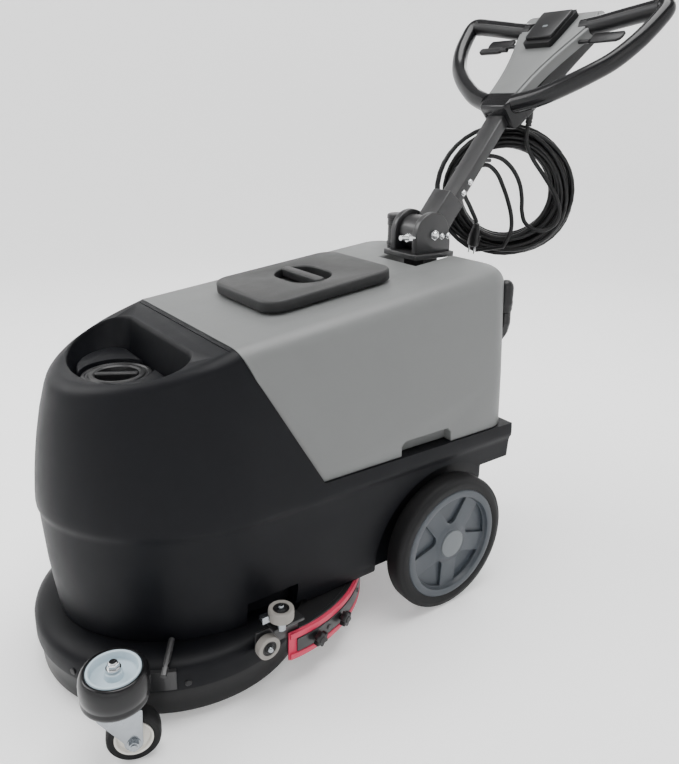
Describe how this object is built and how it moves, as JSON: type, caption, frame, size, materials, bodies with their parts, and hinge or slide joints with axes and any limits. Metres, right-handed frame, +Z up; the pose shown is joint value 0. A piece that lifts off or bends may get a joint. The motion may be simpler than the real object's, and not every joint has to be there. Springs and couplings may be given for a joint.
{
  "type": "wet dry floor scrubber",
  "caption": "Walk-behind floor scrubber with black nose tank, grey lift-off recovery tank, disc brush deck, curved squeegee, bumper wheel, tilting handle and hung cord.",
  "frame": {"origin": "centre of the outer box at floor level, without the cord", "axes": "+Z up, -Y to the machine's front nose, +Y to the operator, +X to the machine's left side"},
  "size_m": [0.532, 1.184, 1.0865],
  "materials": {
    "black_shell": "rotation-moulded polyethylene, fine texture",
    "grey_shell": "rotation-moulded polyethylene, fine texture",
    "dark_lid": "satin",
    "black_plastic": "satin",
    "black_rubber": "matt",
    "tyre": "matt",
    "black_paint": "semi-gloss paint",
    "rim_grey": "satin",
    "roller_grey": "matt",
    "zinc": "zinc plated",
    "red_rubber": "satin",
    "brush_resin": "satin",
    "bristles": "matt bristle",
    "white_plastic": "satin"
  },
  "bodies": {
    "machine": {"solution_tank": "black_shell", "chassis_frame": "black_paint", "deck_cover": "black_shell", "splash_skirt": "black_rubber", "brush_motor": "black_paint", "water_valve": "black_plastic", "vacuum_motor": "black_paint", "suction_hose": "black_rubber", "caster_arm": "black_paint", "bumper_bolt": "zinc", "hinge_base": "black_paint", "pivot_bolt": "zinc"},
    "filler_cap": {"filler_cap": "black_plastic"},
    "recovery_tank": {"recovery_tank": "grey_shell", "float_cage": "white_plastic", "rear_filler_neck": "black_plastic", "drain_hose": "black_rubber"},
    "recovery_lid": {"recovery_lid": "dark_lid", "lid_seal": "black_rubber"},
    "rear_filler_cap": {"rear_filler_cap": "black_plastic"},
    "drain_cap": {"drain_cap": "black_plastic"},
    "rear_wheel_left": {"rear_tyre_left": "tyre", "rear_rim_left": "rim_grey"},
    "rear_wheel_right": {"rear_tyre_right": "tyre", "rear_rim_right": "rim_grey"},
    "bumper_roller": {"bumper_roller": "black_rubber"},
    "caster_fork": {"caster_fork": "zinc"},
    "caster_wheel": {"caster_wheel": "black_rubber"},
    "brush": {"brush_block": "brush_resin", "brush_bristles": "bristles"},
    "squeegee": {"squeegee_body": "black_paint", "front_blade": "black_rubber", "rear_blade": "red_rubber", "blade_strap": "zinc", "side_bracket_left": "zinc", "side_bracket_right": "zinc"},
    "side_roller_left": {"side_roller_left": "roller_grey"},
    "side_roller_right": {"side_roller_right": "roller_grey"},
    "side_wheel_left": {"side_wheel_left": "roller_grey"},
    "side_wheel_right": {"side_wheel_right": "roller_grey"},
    "strap_knob_1": {"strap_knob_1": "black_plastic"},
    "strap_knob_2": {"strap_knob_2": "black_plastic"},
    "strap_knob_3": {"strap_knob_3": "black_plastic"},
    "strap_knob_4": {"strap_knob_4": "black_plastic"},
    "handle": {"column_clevis": "black_paint", "column_tube": "black_paint", "head_shell": "black_plastic", "handle_bar_left": "black_plastic", "handle_bar_right": "black_plastic", "head_cover": "grey_shell", "control_panel": "black_plastic", "cord_coil": "black_rubber", "cord_lead": "black_rubber", "cord_tail": "black_rubber", "cord_plug": "black_plastic"},
    "trigger_left": {"trigger_left": "black_plastic"},
    "trigger_right": {"trigger_right": "black_plastic"},
    "release_lever": {"release_lever": "black_plastic"},
    "brush_switch": {"brush_switch": "black_plastic"},
    "vacuum_switch": {"vacuum_switch": "black_plastic"}
  },
  "joints": [
    {"name": "rear_wheel_left_spin", "type": "hinge", "parent": "machine", "child": "rear_wheel_left", "pos_m": [0.219, 0.073, 0.128], "axis": [1, 0, 0], "continuous": true},
    {"name": "rear_wheel_right_spin", "type": "hinge", "parent": "machine", "child": "rear_wheel_right", "pos_m": [-0.219, 0.073, 0.128], "axis": [1, 0, 0], "continuous": true},
    {"name": "bumper_roller_spin", "type": "hinge", "parent": "machine", "child": "bumper_roller", "pos_m": [0.214, -0.544, 0.126], "axis": [0, 0, 1], "continuous": true},
    {"name": "caster_swivel", "type": "hinge", "parent": "machine", "child": "caster_fork", "pos_m": [0.214, -0.544, 0.09], "axis": [0, 0, 1], "continuous": true},
    {"name": "caster_spin", "type": "hinge", "parent": "caster_fork", "child": "caster_wheel", "pos_m": [0.22104, -0.52528, 0.038], "axis": [0.9359, -0.3523, 0], "continuous": true},
    {"name": "brush_spin", "type": "hinge", "parent": "machine", "child": "brush", "pos_m": [0, -0.36, 0.06], "axis": [0, 0, 1], "continuous": true},
    {"name": "squeegee_lift", "type": "slide", "parent": "machine", "child": "squeegee", "axis": [0, 0, 1], "range_m": [-0.046, 0]},
    {"name": "side_roller_left_spin", "type": "hinge", "parent": "squeegee", "child": "side_roller_left", "pos_m": [0.246, -0.298, 0.148], "axis": [0, 0, 1], "continuous": true},
    {"name": "side_wheel_left_spin", "type": "hinge", "parent": "squeegee", "child": "side_wheel_left", "pos_m": [0.246, -0.322, 0.1], "axis": [1, 0, 0], "continuous": true},
    {"name": "side_roller_right_spin", "type": "hinge", "parent": "squeegee", "child": "side_roller_right", "pos_m": [-0.246, -0.298, 0.148], "axis": [0, 0, 1], "continuous": true},
    {"name": "side_wheel_right_spin", "type": "hinge", "parent": "squeegee", "child": "side_wheel_right", "pos_m": [-0.246, -0.322, 0.1], "axis": [1, 0, 0], "continuous": true},
    {"name": "strap_knob_1_turn", "type": "hinge", "parent": "squeegee", "child": "strap_knob_1", "pos_m": [0.24789, -0.22659, 0.072], "axis": [0.9916, 0.1296, 0], "continuous": true},
    {"name": "strap_knob_2_turn", "type": "hinge", "parent": "squeegee", "child": "strap_knob_2", "pos_m": [0.23217, -0.16627, 0.072], "axis": [0.9287, 0.3709, 0], "continuous": true},
    {"name": "strap_knob_3_turn", "type": "hinge", "parent": "squeegee", "child": "strap_knob_3", "pos_m": [-0.23217, -0.16627, 0.072], "axis": [-0.9287, 0.3709, 0], "continuous": true},
    {"name": "strap_knob_4_turn", "type": "hinge", "parent": "squeegee", "child": "strap_knob_4", "pos_m": [-0.24789, -0.22659, 0.072], "axis": [-0.9916, 0.1296, 0], "continuous": true},
    {"name": "filler_cap_lift", "type": "slide", "parent": "machine", "child": "filler_cap", "axis": [0, 0, 1], "range_m": [0, 0.05]},
    {"name": "recovery_tank_lift", "type": "slide", "parent": "machine", "child": "recovery_tank", "axis": [0, 0, 1], "range_m": [0, 0.04]},
    {"name": "recovery_lid_lift", "type": "slide", "parent": "recovery_tank", "child": "recovery_lid", "axis": [0, 0, 1], "range_m": [0, 0.06]},
    {"name": "rear_filler_cap_flip", "type": "hinge", "parent": "recovery_tank", "child": "rear_filler_cap", "pos_m": [-0.104, 0.186, 0.674], "axis": [0, -1, 0], "range_deg": [0, 110]},
    {"name": "drain_cap_pull", "type": "slide", "parent": "recovery_tank", "child": "drain_cap", "axis": [0, 0, 1], "range_m": [0, 0.05]},
    {"name": "handle_tilt", "type": "hinge", "parent": "machine", "child": "handle", "pos_m": [0, 0.173, 0.656], "axis": [1, 0, 0], "range_deg": [-12, 35]},
    {"name": "trigger_left_pull", "type": "hinge", "parent": "handle", "child": "trigger_left", "pos_m": [0.077, 0.49978, 1.0188], "axis": [0, -0.6867, 0.7269], "range_deg": [0, 4], "stiffness_Nm_per_rad": 1.5, "springref_deg": -14.32},
    {"name": "trigger_right_pull", "type": "hinge", "parent": "handle", "child": "trigger_right", "pos_m": [-0.077, 0.49978, 1.0188], "axis": [0, 0.6867, -0.7269], "range_deg": [0, 4], "stiffness_Nm_per_rad": 1.5, "springref_deg": -14.32},
    {"name": "release_lever_pull", "type": "hinge", "parent": "handle", "child": "release_lever", "pos_m": [-0.066, 0.44956, 1.00644], "axis": [0, 0.6867, -0.7269], "range_deg": [0, 8], "stiffness_Nm_per_rad": 1.5, "springref_deg": -14.32},
    {"name": "brush_switch_rock", "type": "hinge", "parent": "handle", "child": "brush_switch", "pos_m": [0.02, 0.57963, 1.05228], "axis": [1, 0, 0], "range_deg": [-8, 8]},
    {"name": "vacuum_switch_rock", "type": "hinge", "parent": "handle", "child": "vacuum_switch", "pos_m": [-0.02, 0.57963, 1.05228], "axis": [1, 0, 0], "range_deg": [-8, 8]}
  ]
}
